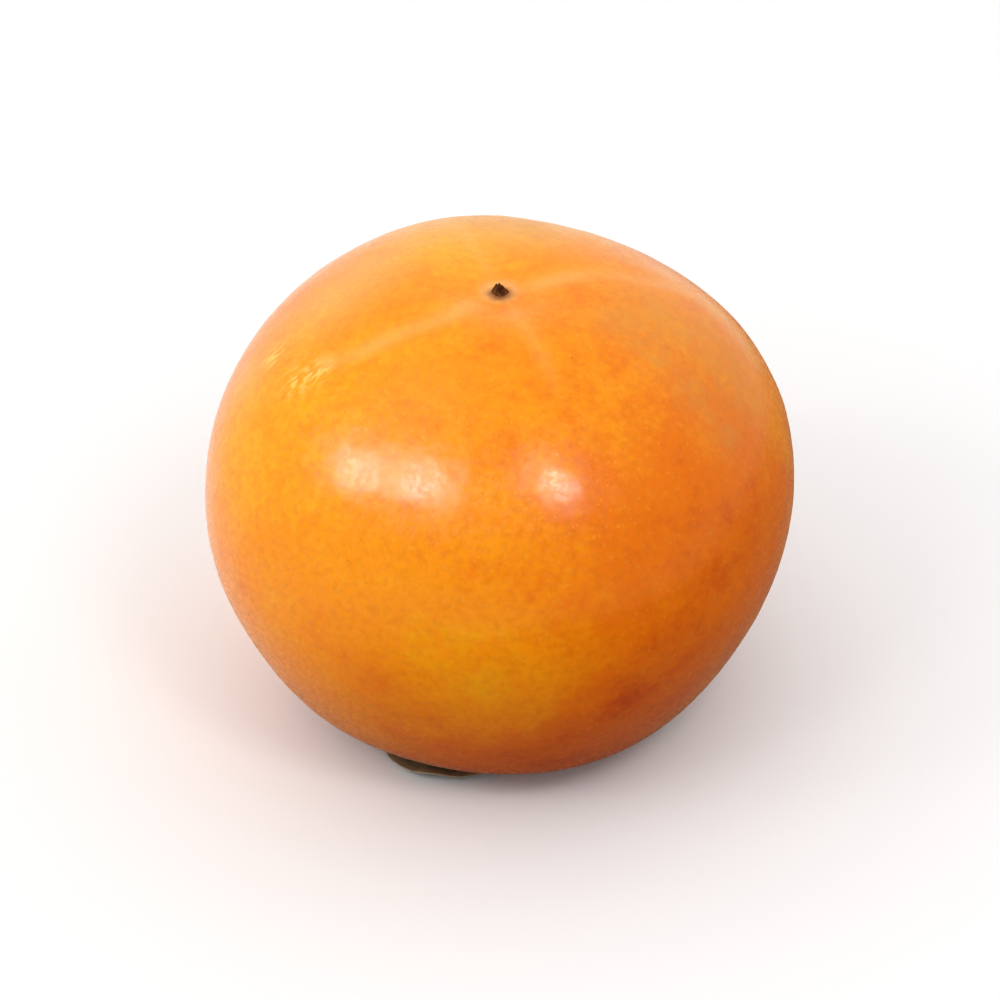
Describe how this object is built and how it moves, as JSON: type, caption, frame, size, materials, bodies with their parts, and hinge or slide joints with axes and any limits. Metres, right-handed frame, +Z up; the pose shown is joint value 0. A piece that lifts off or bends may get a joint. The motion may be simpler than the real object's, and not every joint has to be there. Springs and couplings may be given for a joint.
{
  "type": "persimmon",
  "caption": "Whole ripe persimmon, a flattened four-cornered globe that stands blossom end up on its dried lobed calyx; food or table dressing.",
  "frame": {"origin": "where the fruit's axis meets the surface that it stands on", "axes": "+Z up along the fruit's axis, from the stem to the blossom end; -Y is the side that the picture shows, with +X to its right"},
  "size_m": [0.0822, 0.0822, 0.0676],
  "materials": {
    "skin": "waxy orange skin, ochre towards the base, with a satin gloss, fine speckle and a thin bloom",
    "calyx": "dry, matt, veined, olive-grey with brown and pale edges",
    "stem": "matt bark with a paler cut end",
    "style": "matt, dried nearly black"
  },
  "bodies": {
    "root": {"fruit": "skin", "calyx": "calyx", "stem_stub": "stem", "style_tip": "style"}
  },
  "joints": []
}
